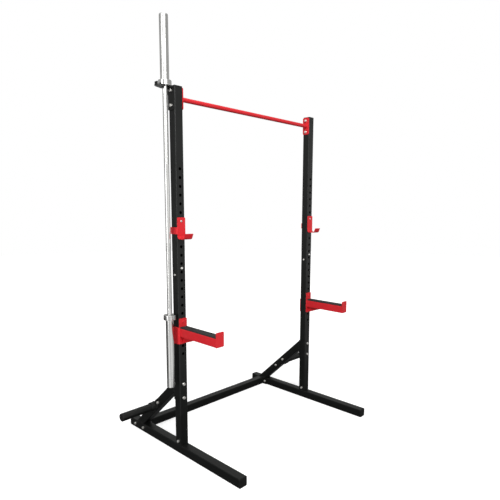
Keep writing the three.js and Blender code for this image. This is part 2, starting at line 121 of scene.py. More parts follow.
def pipe(axis, outer, inner, a, b):
    """Tube between two outlines of equal point count."""
    f, n = AX[axis], len(outer)
    vs = [f(u, v, w) for pts in (outer, inner) for w in (a, b) for u, v in pts]
    m, fs = 2 * n, []
    for i in range(n):
        j = (i + 1) % n
        fs += [(i, j, n + j, n + i), (m + j, m + i, m + n + i, m + n + j), (j, i, m + i, m + j), (n + i, n + j, m + n + j, m + n + i)]
    return vs, fs


def turn(axis, profile, a, b, n=48):
    """Solid of revolution round an axis through (a,b); profile [(r,w), ...].
    It starts and ends on the axis (r 0), or it closes on itself."""
    f = AX[axis]
    vs, fs, rows = [], [], []
    for r, w in profile:
        if r <= 1e-6:
            rows.append([len(vs)])
            vs.append(f(a, b, w))
        else:
            rows.append(list(range(len(vs), len(vs) + n)))
            vs += [f(a + r * math.cos(2 * math.pi * i / n), b + r * math.sin(2 * math.pi * i / n), w) for i in range(n)]
    pairs = list(zip(rows, rows[1:]))
    if profile[0][0] > 1e-6:
        pairs.append((rows[-1], rows[0]))
    for p, q in pairs:
        for i in range(n):
            j = (i + 1) % n
            if len(p) == 1 and len(q) == 1:
                break
            if len(p) == 1:
                fs.append((p[0], q[j], q[i]))
            elif len(q) == 1:
                fs.append((p[i], p[j], q[0]))
            else:
                fs.append((p[i], p[j], q[j], q[i]))
    return vs, fs


def bead(points, r, closed=True, seg=8, step=1.7, pitch=3.4):
    """Weld bead: a rippled round run along a path of points."""
    pts = [Vector(p) for p in points]
    if closed:
        pts.append(pts[0].copy())
    run, dense = 0.0, []
    for p, q in zip(pts, pts[1:]):
        d = (q - p).length
        k = max(1, int(d / step))
        for i in range(k):
            dense.append((p.lerp(q, i / k), run + d * i / k))
        run += d
    if not closed:
        dense.append((pts[-1], run))
    n, vs, fs = len(dense), [], []
    for i, (p, s) in enumerate(dense):
        a = dense[(i - 1) % n][0] if closed or i else p
        b = dense[(i + 1) % n][0] if closed or i < n - 1 else p
        t = (b - a).normalized()
        side = t.cross(Vector((0.31, 0.52, 0.79))).normalized()
        up = side.cross(t)
        rr = r * (1 + 0.10 * math.sin(2 * math.pi * s / pitch) + 0.05 * math.sin(s * 0.37 + 1.3))
        if not closed and i in (0, n - 1):
            rr *= 0.45
        for k in range(seg):
            w = 2 * math.pi * k / seg
            vs.append(tuple(p + side * (rr * math.cos(w)) + up * (rr * math.sin(w))))
    for i in range(n if closed else n - 1):
        a, b = i * seg, ((i + 1) % n) * seg
        fs += [(a + k, a + (k + 1) % seg, b + (k + 1) % seg, b + k) for k in range(seg)]
    if not closed:
        fs += [tuple(range(seg - 1, -1, -1)), tuple(range((n - 1) * seg, n * seg))]
    return vs, fs


def ring_path(axis, pts, w):
    return [AX[axis](u, v, w) for u, v in pts]


def mirrored(part):
    return [(-x, y, z) for x, y, z in part[0]], part[1]


# ------------------------------------------------------------- Blender side
def mesh_of(name, parts):
    vs, fs = [], []
    for v, f in parts:
        k = len(vs)
        vs += [(x * MM, y * MM + SY, z * MM) for x, y, z in v]
        fs += [tuple(i + k for i in g) for g in f]
    me = bpy.data.meshes.new(name)
    me.from_pydata(vs, [], fs)
    bm = bmesh.new()
    bm.from_mesh(me)
    bmesh.ops.recalc_face_normals(bm, faces=bm.faces)
    bm.to_mesh(me)
    bm.free()
    me.update()
    return me


def link(name, me):
    o = bpy.data.objects.new(name, me)
    bpy.context.scene.collection.objects.link(o)
    return o


def bake(o):
    """Applies the object's modifiers to its mesh."""
    bpy.context.view_layer.update()
    dg = bpy.context.evaluated_depsgraph_get()
    me = bpy.data.meshes.new_from_object(o.evaluated_get(dg))
    o.modifiers.clear()
    old, o.data = o.data, me
    bpy.data.meshes.remove(old)


def folds(me):
    """How many edges fold their two faces back on each other."""
    bm = bmesh.new()
    bm.from_mesh(me)
    n = sum(1 for e in bm.edges if len(e.link_faces) == 2 and e.calc_face_angle(0) > math.radians(150))
    bm.free()
    return n


def rounded(o, width, seg):
    """Rounds the sharp edges, with a smaller radius wherever the full one would fold the mesh."""
    plain = o.data.copy()
    limit = folds(plain)
    for share, clamp in ((1.0, False), (0.75, False), (0.5, False), (0.3, False), (0.15, False), (1.0, True)):
        if share < 1.0 or clamp:
            old, o.data = o.data, plain.copy()
            bpy.data.meshes.remove(old)
        m = o.modifiers.new("bevel", "BEVEL")
        m.width, m.segments, m.limit_method, m.angle_limit = width * share * MM, seg, "ANGLE", math.radians(40)
        m.use_clamp_overlap, m.miter_outer = clamp, "MITER_ARC"
        bake(o)
        bm = bmesh.new()
        bm.from_mesh(o.data)
        bmesh.ops.dissolve_degenerate(bm, edges=bm.edges, dist=2e-6)
        bm.to_mesh(o.data)
        bm.free()
        if folds(o.data) <= limit:
            break
    else:
        old, o.data = o.data, plain.copy()
        bpy.data.meshes.remove(old)
    bpy.data.meshes.remove(plain)


def shape(name, base, add=(), cuts=(), keep=(), bevel=0.6, seg=2, extra=(), angle=32):
    """A finished mesh object: base parts, joined with add, trimmed to keep, less cuts, edges rounded, extra islands put on."""
    o = link(name, mesh_of(name, base))
    ops = [("UNION", [p]) for p in add] + [("INTERSECT", [p]) for p in keep]
    if cuts:
        ops.append(("DIFFERENCE", list(cuts)))
    tmp = []
    for k, (op, parts) in enumerate(ops):
        c = link(name + "_t%d" % k, mesh_of(name + "_t%d" % k, parts))
        m = o.modifiers.new("b%d" % k, "BOOLEAN")
        m.operation, m.solver, m.object = op, "EXACT", c
        tmp.append(c)
    if tmp:
        bake(o)
        for c in tmp:
            d = c.data
            bpy.data.objects.remove(c)
            bpy.data.meshes.remove(d)
        bm = bmesh.new()
        bm.from_mesh(o.data)
        bmesh.ops.remove_doubles(bm, verts=bm.verts, dist=2e-6)
        bmesh.ops.dissolve_limit(bm, angle_limit=math.radians(0.6), verts=bm.verts, edges=bm.edges)
        bm.to_mesh(o.data)
        bm.free()
    if bevel:
        rounded(o, bevel, seg)
    if extra:
        e = mesh_of(name + "_x", extra)
        bm = bmesh.new()
        bm.from_mesh(o.data)
        bm.from_mesh(e)
        bm.to_mesh(o.data)
        bm.free()
        bpy.data.meshes.remove(e)
    finish_mesh(o, angle)
    return o


def finish_mesh(o, angle=32):
    me = o.data
    me.materials.clear()
    me.shade_smooth()
    me.set_sharp_from_angle(angle=math.radians(angle))
    m = o.modifiers.new("flat_faces", "WEIGHTED_NORMAL")
    m.keep_sharp = True


NODE_BODY = {n: b for b, ns in frame["record"]["behaviour"]["bodies"].items() for n in ns}


def claim(o, mat, slot, *nodes):
    o.data.materials.append(mat)
    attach(o, NODE_BODY[nodes[0]])
    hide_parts(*nodes)
    return o


def both(name, mat, slot, nodes, **kw):
    """The same piece on both sides; nodes are names without their side."""
    left = shape("vis_" + name + "_left", **kw)
    me = left.data.copy()
    me.name = "vis_" + name + "_right"
    for v in me.vertices:
        v.co.x = -v.co.x
    me.flip_normals()
    right = link("vis_" + name + "_right", me)
    finish_mesh(right, kw.get("angle", 32))
    claim(left, mat, slot, *[n + "_left" for n in nodes])
    claim(right, mat, slot, *[n + "_right" for n in nodes])
    return left, right


# ---------------------------------------------------------------- materials
def nodes_of(name):
    m = bpy.data.materials.new(name)
    m.use_nodes = True
    nt = m.node_tree
    nt.nodes.clear()
    out = nt.nodes.new("ShaderNodeOutputMaterial")
    p = nt.nodes.new("ShaderNodeBsdfPrincipled")
    nt.links.new(p.outputs[0], out.inputs[0])
    return m, nt, p


def coords(nt, scale=(1, 1, 1)):
    c = nt.nodes.new("ShaderNodeTexCoord")
    if scale == (1, 1, 1):
        return c.outputs["Object"]
    mp = nt.nodes.new("ShaderNodeMapping")
    mp.inputs["Scale"].default_value = scale
    nt.links.new(c.outputs["Object"], mp.inputs["Vector"])
    return mp.outputs[0]


def noise(nt, scale, detail=3.0, rough=0.5, vec=None, distort=0.0):
    n = nt.nodes.new("ShaderNodeTexNoise")
    n.inputs["Scale"].default_value = scale
    n.inputs["Detail"].default_value = detail
    n.inputs["Roughness"].default_value = rough
    n.inputs["Distortion"].default_value = distort
    nt.links.new(vec if vec is not None else coords(nt), n.inputs["Vector"])
    return n.outputs["Fac"]


def remap(nt, v, a, b, lo, hi):
    r = nt.nodes.new("ShaderNodeMapRange")
    for k, x in zip(("From Min", "From Max", "To Min", "To Max"), (a, b, lo, hi)):
        r.inputs[k].default_value = x
    nt.links.new(v, r.inputs["Value"])
    return r.outputs[0]


def calc(nt, op, a, b=None, c=None):
    m = nt.nodes.new("ShaderNodeMath")
    m.operation = op
    for i, x in enumerate((a, b, c)):
        if x is None:
            continue
        if isinstance(x, (int, float)):
            m.inputs[i].default_value = x
        else:
            nt.links.new(x, m.inputs[i])
    return m.outputs[0]


def mix(nt, fac, a, b):
    m = nt.nodes.new("ShaderNodeMix")
    m.data_type = "RGBA"
    nt.links.new(fac, m.inputs[0])
    for k, x in ((6, a), (7, b)):
        if isinstance(x, tuple):
            m.inputs[k].default_value = (*x, 1)
        else:
            nt.links.new(x, m.inputs[k])
    return m.outputs[2]


def bump(nt, p, height, strength, distance):
    b = nt.nodes.new("ShaderNodeBump")
    b.inputs["Strength"].default_value = strength
    b.inputs["Distance"].default_value = distance
    nt.links.new(height, b.inputs["Height"])
    nt.links.new(b.outputs[0], p.inputs["Normal"])


def edge_mask(nt, radius):
    """High where the surface turns sharply, with more wear in some places than others."""
    bv = nt.nodes.new("ShaderNodeBevel")
    bv.samples = 4
    bv.inputs["Radius"].default_value = radius
    g = nt.nodes.new("ShaderNodeNewGeometry")
    d = nt.nodes.new("ShaderNodeVectorMath")
    d.operation = "DOT_PRODUCT"
    nt.links.new(bv.outputs[0], d.inputs[0])
    nt.links.new(g.outputs["Normal"], d.inputs[1])
    e = remap(nt, d.outputs["Value"], 0.995, 0.86, 0.0, 1.0)
    w = remap(nt, noise(nt, 55, 4, 0.65), 0.44, 0.62, 0.15, 1.0)
    return calc(nt, "MULTIPLY", e, w)


def coat(name, low, high, edge, rough, spec=0.45, grain=0.16, wear=0.5, coatw=0.0, fleck=None):
    m, nt, p = nodes_of(name)
    tone = remap(nt, noise(nt, 5, 5, 0.6), 0.32, 0.68, 0, 1)
    col = mix(nt, tone, low, high)
    if fleck:
        f = remap(nt, noise(nt, 420, 2, 0.5), 0.66, 0.72, 0, 0.6)
        col = mix(nt, f, col, fleck)
    e = calc(nt, "MULTIPLY", edge_mask(nt, 0.0022), wear)
    col = mix(nt, e, col, edge)
    nt.links.new(col, p.inputs["Base Color"])
    r = remap(nt, noise(nt, 26, 5, 0.62), 0.3, 0.7, rough[0], rough[1])
    nt.links.new(r, p.inputs["Roughness"])
    p.inputs["Specular IOR Level"].default_value = spec
    p.inputs["Coat Weight"].default_value = coatw
    p.inputs["Coat Roughness"].default_value = 0.25
    h = calc(nt, "ADD", noise(nt, 620, 3, 0.55), calc(nt, "MULTIPLY", noise(nt, 190, 2, 0.5), 0.8))
    bump(nt, p, h, grain, 0.0005)
    return m


def metal(name, low, high, rough, stretch=(1, 1, 1), scale=300, strength=0.06, spots=None):
    m, nt, p = nodes_of(name)
    p.inputs["Metallic"].default_value = 1.0
    tone = remap(nt, noise(nt, 22, 5, 0.6), 0.3, 0.7, 0, 1)
    col = mix(nt, tone, low, high)
    if spots:
        s = remap(nt, noise(nt, 150, 4, 0.7), 0.62, 0.74, 0, 0.7)
        col = mix(nt, s, col, spots)
    nt.links.new(col, p.inputs["Base Color"])
    v = coords(nt, stretch)
    r = remap(nt, noise(nt, scale, 4, 0.6, v), 0.3, 0.7, rough[0], rough[1])
    nt.links.new(r, p.inputs["Roughness"])
    if strength:
        bump(nt, p, noise(nt, scale * 1.6, 3, 0.6, v), strength, 0.0003)
    return m


BLACK = coat("black_coat", (0.0030, 0.0034, 0.0031), (0.0050, 0.0056, 0.0052), (0.040, 0.042, 0.040), (0.34, 0.46), 0.31, 0.14, 0.35)
RED = coat("red_coat", (0.62, 0.017, 0.024), (0.69, 0.022, 0.031), (0.82, 0.08, 0.08), (0.36, 0.46), 0.26, 0.12, 0.30)
PLUG = coat("plug_plastic", (0.0050, 0.0050, 0.0050), (0.0080, 0.0080, 0.0080), (0.030, 0.030, 0.030), (0.50, 0.64), 0.28, 0.30, 0.45)
RUBBER = coat("pad_rubber", (0.015, 0.015, 0.015), (0.024, 0.024, 0.023), (0.045, 0.045, 0.044), (0.68, 0.84), 0.35, 0.45, 0.35, 0.0, (0.05, 0.05, 0.05))
ZINC = metal("zinc_plate", (0.76, 0.75, 0.72), (0.90, 0.89, 0.86), (0.34, 0.48), (1, 1, 1), 260, 0.10, (0.45, 0.43, 0.38))
PIN = metal("pin_steel", (0.46, 0.45, 0.43), (0.60, 0.59, 0.57), (0.26, 0.38), (1, 1, 1), 220, 0.08, (0.40, 0.38, 0.34))
# turned finish: the grain runs round the bar
SLEEVE = metal("sleeve_chrome", (0.53, 0.53, 0.52), (0.60, 0.60, 0.59), (0.12, 0.19), (0.05, 0.05, 1.0), 90, 0.0)


def shaft_material(zones, axis_xy, radius):
    """Bright shaft with diamond knurling between the heights in zones; painted shade darkens the grooves of the knurl.
    """
    m, nt, p = nodes_of("shaft_chrome")
    p.inputs["Metallic"].default_value = 1.0
    sep = nt.nodes.new("ShaderNodeSeparateXYZ")
    nt.links.new(coords(nt), sep.inputs[0])
    x = calc(nt, "SUBTRACT", sep.outputs[0], axis_xy[0])
    y = calc(nt, "SUBTRACT", sep.outputs[1], axis_xy[1])
    z = sep.outputs[2]
    mask = None
    for a, b in zones:
        up = remap(nt, z, a - 0.0006, a + 0.0006, 0, 1)
        dn = remap(nt, z, b - 0.0006, b + 0.0006, 1, 0)
        k = calc(nt, "MULTIPLY", up, dn)
        mask = k if mask is None else calc(nt, "MAXIMUM", mask, k)
    turns = 36
    ang = calc(nt, "ARCTAN2", y, x)
    k = 2 * math.pi / (2 * math.pi * radius / turns)
    zz = calc(nt, "MULTIPLY", z, k)
    aa = calc(nt, "MULTIPLY", ang, float(turns))
    s1 = calc(nt, "ABSOLUTE", calc(nt, "SINE", calc(nt, "MULTIPLY", calc(nt, "ADD", aa, zz), 0.5)))
    s2 = calc(nt, "ABSOLUTE", calc(nt, "SINE", calc(nt, "MULTIPLY", calc(nt, "SUBTRACT", aa, zz), 0.5)))
    diamonds = calc(nt, "MINIMUM", s1, s2)
    kn = calc(nt, "MULTIPLY", diamonds, mask)
    tone = remap(nt, noise(nt, 14, 4, 0.6), 0.3, 0.7, 0, 1)
    bright = mix(nt, tone, (0.60, 0.60, 0.59), (0.68, 0.68, 0.67))
    # painted shade: the knurl's grooves are coloured darker than its peaks, where shade would fall in them
    knurl_groove_shade = mix(nt, calc(nt, "MULTIPLY", diamonds, 1.0), (0.40, 0.40, 0.39), (0.68, 0.68, 0.67))
    nt.links.new(mix(nt, mask, bright, knurl_groove_shade), p.inputs["Base Color"])
    smooth = remap(nt, noise(nt, 90, 3, 0.6, coords(nt, (0.05, 0.05, 1.0))), 0.3, 0.7, 0.10, 0.16)
    r = calc(nt, "ADD", smooth, calc(nt, "MULTIPLY", mask, 0.20))
    nt.links.new(r, p.inputs["Roughness"])
    bump(nt, p, kn, 0.02, 0.0003)
    return m


# -------------------------------------------------------------- dimensions
CAP_T = 4.0
(_fx, (FOOT_A, FOOT_B), _fz) = span("foot_left")
(_, (FF, _), _), (_, (_, FR), _) = span("foot_plug_front_left"), span("foot_plug_rear_left")
CROSS_Y = 451.0
FLANGE_Y0, FLANGE_Y1, FLANGE_BOLTS = 384.0, 513.0, (400.0, 497.0)
SPLICE_Z, SPLICE_FRONT_Z, SPLICE_SIDE_Z = 1153.0, 1165.0, 1124.0
BASE_BOLT_Z = 76.0
HOLES = [1741.0 - 50 * i for i in range(23)]
RUN, BZ0, BRACE_BOLTS = 0.921, 458.0, (448.0, 360.0)
PEG_Y, PEG_LEN, PEG_R, PEG_BOSS_R, PEG_BOSS_X, PEG_BOLT = 243.0, 892.0, 25.0, 31.0, 683.0, 50.0
PULL_Z, PULL_R, TOP_BOLTS = 2134.0, 13.5, (2173.0, 2091.0)
BAR_X, BAR_R, SLEEVE_R, COLLAR_R, COLLAR_H = -687.0, 14.25, 25.0, 37.3, 29.0
REST_Z, BAR_TOP, BAR_BOTTOM, LOWER_TOP = 2188.0, 2562.0, 444.0, 890.0
HOOK_PIN_Z, ARM_PIN_Z, PIN_R = 1441.0, 841.0, 6.9
ARM_TOP, ARM_BOTTOM, ARM_END, PAD_T = 804.0, 752.0, -362.0, 8.0
BH = 5.5
ANG = math.atan(RUN)
CA, SA = math.cos(ANG), math.sin(ANG)
PEG_Z = BZ0 - RUN * PEG_Y


def xb(y, z, r=BH, a=X0 - 12, b=X1 + 12, n=28):
    return prism("x", circle(y, z, r, n), a, b)


def yb(z, r=BH, a=-HALF - 6, b=HALF + 14, n=28):
    return prism("y", circle(L, z, r, n), a, b)


# ------------------------------------------------------------------- feet
tube_o, tube_i = rrect(X0, 0, X1, TUBE, TR, 8), rrect(X0 + WALL, WALL, X1 - WALL, TUBE - WALL, TR - WALL, 8)
spig = HALF - WALL - 0.4
stub = pipe("z", rrect(L - spig, -spig, L + spig, spig, 2, 4), rrect(L - spig + 3, -spig + 3, L + spig - 3, spig - 3, 1, 4), TUBE - 1, 132)
both("foot", BLACK, "black_paint", ["foot"],
     base=[pipe("y", tube_o, tube_i, FOOT_A, FOOT_B)], add=[stub],
     cuts=[xb(y, HALF) for y in FLANGE_BOLTS] + [xb(0, BASE_BOLT_Z)], bevel=0.5)


def plug(axis, outline_at, w0, w1, core_to):
    """Moulded end plug: rounded rim, slightly domed face, hollow tongue inside."""
    s = 1 if w1 > w0 else -1
    rim = [(outline_at(0.0), w0), (outline_at(0.0), w1 - 1.5 * s), (outline_at(0.35), w1 - 0.75 * s), (outline_at(1.1), w1 - 0.25 * s),
           (outline_at(2.6), w1), (outline_at(8.0), w1 + 0.15 * s), (outline_at(18.0), w1 + 0.3 * s)]
    o, i = outline_at(WALL + 0.5), outline_at(WALL + 2.5)
    return loft(axis, rim), pipe(axis, o, i, w0 + 0.2 * s, core_to)


def foot_outline(d):
    return rrect(X0 + d, d, X1 - d, TUBE - d, max(0.6, TR - d), 8)


for nm, w0, w1, core in (("foot_plug_front", FF + CAP_T, FF, FF + 24), ("foot_plug_rear", FR - CAP_T, FR, FR - 24)):
    a, b = plug("y", foot_outline, w0, w1, core)
    both(nm, PLUG, "plug_plastic", [nm], base=[a, b], bevel=0)

a, b = plug("z", lambda d: rrect(X0 + d, -HALF + d, X1 - d, HALF - d, max(0.6, TR - d), 8), 2200 - CAP_T, 2200, 2200 - 18)
both("upright_plug", PLUG, "plug_plastic", ["upright_plug"], base=[a, b], bevel=0)

# ------------------------------------------------------------- crossmember
INNER = -L - HALF - GAP
co = rrect(CROSS_Y - HALF, 0, CROSS_Y + HALF, TUBE, TR, 8)
ci = rrect(CROSS_Y - HALF + WALL, WALL, CROSS_Y + HALF - WALL, TUBE - WALL, TR - WALL, 8)
flanges, beads = [], []
for s in (-1, 1):
    a, b = (-INNER, -INNER + 6) if s < 0 else (INNER - 6, INNER)
    flanges.append(prism("x", rrect(FLANGE_Y0, 1, FLANGE_Y1, TUBE - 1, 4, 5), a, b))
    w = -INNER + 6.2 if s < 0 else INNER - 6.2
    beads.append(bead(ring_path("x", rrect(CROSS_Y - HALF, 2.0, CROSS_Y + HALF, TUBE - 0.2, TR, 6), w), 2.3))
o = shape("vis_rear_crossmember", [pipe("x", co, ci, -INNER + 1, INNER - 1)], add=flanges,
          cuts=[prism("x", circle(CROSS_Y, HALF, 14, 32), s * INNER - 10, s * INNER + 10) for s in (-1, 1)]
          + [prism("x", circle(y, HALF, BH, 24), s * INNER - 12, s * INNER + 12) for s in (-1, 1) for y in FLANGE_BOLTS],
          bevel=0.6, extra=beads)
claim(o, BLACK, "black_paint", "rear_crossmember")

# ----------------------------------------------------------------- uprights
uo, ui = rrect(X0, -HALF, X1, HALF, TR, 8), rrect(X0 + WALL, -HALF + WALL, X1 - WALL, HALF - WALL, TR - WALL, 8)


def pin_hole(z):
    return prism("y", circle(L, z, 9.2, 40), -HALF - 4, -HALF + WALL + 4)


both("upright_lower", BLACK, "black_paint", ["upright_lower"],
     base=[pipe("z", uo, ui, TUBE + GAP, SPLICE_Z - 0.2)],
     cuts=[pin_hole(z) for z in HOLES if z < SPLICE_Z] + [xb(0, BASE_BOLT_Z), xb(0, SPLICE_SIDE_Z)] + [yb(z) for z in BRACE_BOLTS], bevel=0.45)
both("upright_upper", BLACK, "black_paint", ["upright_upper"],
     base=[pipe("z", uo, ui, SPLICE_Z + 0.2, 2200 - CAP_T - 0.3)],
     cuts=[pin_hole(z) for z in HOLES if z > SPLICE_Z] + [yb(SPLICE_FRONT_Z)] + [xb(0, z) for z in TOP_BOLTS], bevel=0.45)
both("splice_sleeve", BLACK, "black_paint", ["splice_sleeve"],
     base=[pipe("z", rrect(L - spig, -spig, L + spig, spig, 2, 4), rrect(L - spig + 3, -spig + 3, L + spig - 3, spig - 3, 1, 4), 1068, 1230)],
     cuts=[yb(SPLICE_FRONT_Z), xb(0, SPLICE_SIDE_Z)] + [prism("y", circle(L, z, 9.2, 40), -HALF, -HALF + WALL + 8) for z in (1191, 1141, 1091)], bevel=0.3)

# ------------------------------------------------------------------- braces
bo, bi = rrect(X0, -HALF, X1, HALF, TR, 8), rrect(X0 + WALL, -HALF + WALL, X1 - WALL, HALF - WALL, TR - WALL, 8)


def slanted(u, v, w):
    """Across x, across the slope, and down the slope from the brace line at y 0."""
    return (u, v * SA + w * CA, BZ0 + v * CA - w * SA)


vs, fs = pipe("z", bo, bi, -60, 720)
brace = ([slanted(*p) for p in vs], fs)
room = prism("x", [(HALF + GAP + 5, TUBE + GAP), (700, TUBE + GAP), (700, 700), (HALF + GAP + 5, 700)], X0 - 5, X1 + 5)
yp = HALF + GAP + 6
zc = BZ0 - RUN * yp
hv = HALF / CA
top_weld = bead([(x, yp + 0.2, z) for x, z in rrect(X0 + 0.4, zc - hv, X1 - 0.4, min(zc + hv, 467), 5, 6)], 2.4)
ye0, ye1 = (BZ0 - hv - TUBE - 5) / RUN, (BZ0 + hv - TUBE - 5) / RUN
foot_weld = bead([(x, y, TUBE + GAP + 5.2) for x, y in rrect(X0 + 1.2, max(ye0, 393.5), X1 - 1.2, min(ye1, 478.5), 5, 6)], 2.2)
peg_holes = [prism("x", circle(PEG_Y + s * PEG_BOLT * CA, PEG_Z - s * PEG_BOLT * SA, BH, 28), X0 - 5, X1 + 5) for s in (-1, 1)]
both("rear_brace", BLACK, "black_paint", ["rear_brace"],
     base=[brace], add=[], keep=[room], cuts=peg_holes, bevel=0.5,
     extra=[loft("y", [(rrect(X0 + 0.5, 340.5, X1 - 0.5, 467.5, 6, 6), HALF + GAP), (rrect(X0, 340, X1, 468, 6, 6), HALF + GAP + 0.5),
                       (rrect(X0, 340, X1, 468, 6, 6), HALF + GAP + 5.4), (rrect(X0 + 0.6, 340.6, X1 - 0.6, 467.4, 5.6, 6), HALF + GAP + 6)]),
            loft("z", [(rrect(X0 + 1, 393, X1 - 1, 479, 4, 4), TUBE + GAP), (rrect(X0 + 1, 393, X1 - 1, 479, 4, 4), TUBE + GAP + 4.5),
                       (rrect(X0 + 1.5, 393.5, X1 - 1.5, 478.5, 3.6, 4), TUBE + GAP + 5)]),
            top_weld, foot_weld])

# --------------------------------------------------------------- plate pegs
pts = []
for c, a0 in ((56, -90), (-56, 90)):
    for i in range(13):
        t = math.radians(a0 + 15 * i)
        u, v = c + 26 * 0.8 * math.cos(t), 26 * math.sin(t)
        pts.append((PEG_Y + u * CA + v * SA, PEG_Z - u * SA + v * CA))
xp = X0 - GAP - 6
both("plate_peg", BLACK, "black_paint", ["plate_peg"],
     base=[prism("x", pts, xp, X0 - GAP)],
     cuts=[prism("x", circle(PEG_Y + k * PEG_BOLT * CA, PEG_Z - k * PEG_BOLT * SA, BH, 28), X0 - 14, X0 + 4) for k in (-1, 1)], bevel=0.7,
     extra=[turn("x", [(PEG_BOSS_R, xp + 2), (PEG_BOSS_R, -PEG_BOSS_X + 1.4), (PEG_BOSS_R - 0.5, -PEG_BOSS_X + 0.5), (PEG_BOSS_R - 1.4, -PEG_BOSS_X),
                       (PEG_R + 0.6, -PEG_BOSS_X), (PEG_R, -PEG_BOSS_X - 0.6), (PEG_R, -PEG_LEN + 4.4), (PEG_R - 0.4, -PEG_LEN + 4),
                       (PEG_R - 3, -PEG_LEN + 4), (PEG_R - 3, xp + 2)], PEG_Y, PEG_Z, 64),
            bead(ring_path("x", circle(PEG_Y, PEG_Z, PEG_BOSS_R + 0.2, 72), xp - 0.2), 2.4)])
both("peg_plug", PLUG, "plug_plastic", ["peg_plug"],
     base=[turn("x", [(0, -PEG_LEN - 0.25), (9, -PEG_LEN - 0.2), (17, -PEG_LEN), (PEG_R - 2.2, -PEG_LEN + 0.15), (PEG_R - 0.9, -PEG_LEN + 0.7), (PEG_R - 0.15, -PEG_LEN + 1.7),
                      (PEG_R, -PEG_LEN + 3.6), (PEG_R - 3.5, -PEG_LEN + 3.6), (PEG_R - 3.5, -PEG_LEN + 21), (PEG_R - 4.5, -PEG_LEN + 22),
                      (PEG_R - 6, -PEG_LEN + 22), (PEG_R - 6, -PEG_LEN + 5), (0, -PEG_LEN + 5)], PEG_Y, PEG_Z, 64)], bevel=0)

# -------------------------------------------------------------- pull-up bar
plates, beads, cuts = [], [], []
for s in (-1, 1):
    a, b = (-INNER, -INNER + STEEL) if s < 0 else (INNER - STEEL, INNER)
    plates.append(prism("x", rrect(-HALF, PULL_Z - 62, HALF, PULL_Z + 62, 12, 8), a, b))
    w = -INNER + STEEL + 0.2 if s < 0 else INNER - STEEL - 0.2
    beads.append(bead(ring_path("x", circle(0, PULL_Z, PULL_R + 0.3, 48), w), 2.2))
    cuts += [prism("x", circle(0, z, BH, 28), s * INNER - 12, s * INNER + 12) for z in TOP_BOLTS]
o = shape("vis_pull_up_bar", [pipe("x", circle(0, PULL_Z, PULL_R, 48), circle(0, PULL_Z, PULL_R - 2.5, 48), -INNER + 1, INNER - 1)],
          add=plates, cuts=cuts + [prism("x", circle(0, PULL_Z, PULL_R - 2.5, 48), s * INNER - 8, s * INNER + 8) for s in (-1, 1)], bevel=0.7, extra=beads)
claim(o, RED, "red_paint", "pull_up_bar")

# ----------------------------------------------------------- barbell holder
xo = X0 - GAP
b, w = BAR_X, 18.0
back = prism("x", [(-HALF, 2070), (-HALF + 4, 2066), (HALF - 4, 2066), (HALF, 2070), (HALF, 2150), (42, 2154), (42, REST_Z), (-HALF, REST_Z)], xo - STEEL, xo)
outline = [(xo - 1, -HALF), (xo - 1, 42), (b + 2, 41), (b - 41, 30), (b - 59, 16), (b - 59, -16), (b - 45, -HALF), (b - w, -HALF)]
outline += arc(b, 0, w, 180, 0, 24) + [(b + w, -HALF)]
shelf = prism("z", outline, REST_Z - STEEL, REST_Z)
lip = prism("x", rrect(-12, REST_Z - 4, 12, REST_Z + 15, 2.5, 5), b - 59, b - 54)
o = shape("vis_barbell_holder", [back], add=[shelf, lip], cuts=[prism("x", circle(0, z, BH, 28), xo - 10, xo + 5) for z in TOP_BOLTS], bevel=0.8,
          extra=[bead([(xo - STEEL - 0.2, y, REST_Z - STEEL - 0.3) for y in (-24, -10, 5, 20, 38)], 2.4, closed=False)])
claim(o, BLACK, "black_paint", "barbell_holder")

# ------------------------------------------------------------------ barbell
bore = BAR_R + 0.35
bottom, top = BAR_BOTTOM + 14, BAR_TOP - 14
mid = (LOWER_TOP + REST_Z) / 2
zones = [(LOWER_TOP + 40, mid - 407.5), (mid - 402.5, mid - 225), (mid + 225, mid + 402.5), (mid + 407.5, REST_Z - 40)]
SHAFT = shaft_material([(a * MM, c * MM) for a, c in zones], (BAR_X * MM, SY), BAR_R * MM)
prof = [(0, bottom), (BAR_R - 1.2, bottom), (BAR_R - 0.35, bottom + 0.35), (BAR_R, bottom + 1.2)]
for a, c in zones:                    # a shallow step where each knurled length starts and ends
    prof += [(BAR_R, a - 0.5), (BAR_R - 0.18, a), (BAR_R - 0.18, a + 0.9), (BAR_R, a + 1.5), (BAR_R, c - 1.5), (BAR_R - 0.18, c - 0.9), (BAR_R - 0.18, c), (BAR_R, c + 0.5)]
prof += [(BAR_R, top - 1.2), (BAR_R - 0.35, top - 0.35), (BAR_R - 1.2, top), (0, top)]
o = shape("vis_barbell_shaft", [turn("z", prof, BAR_X, 0, 64)], bevel=0)
claim(o, SHAFT, "bar_chrome", "barbell_shaft")


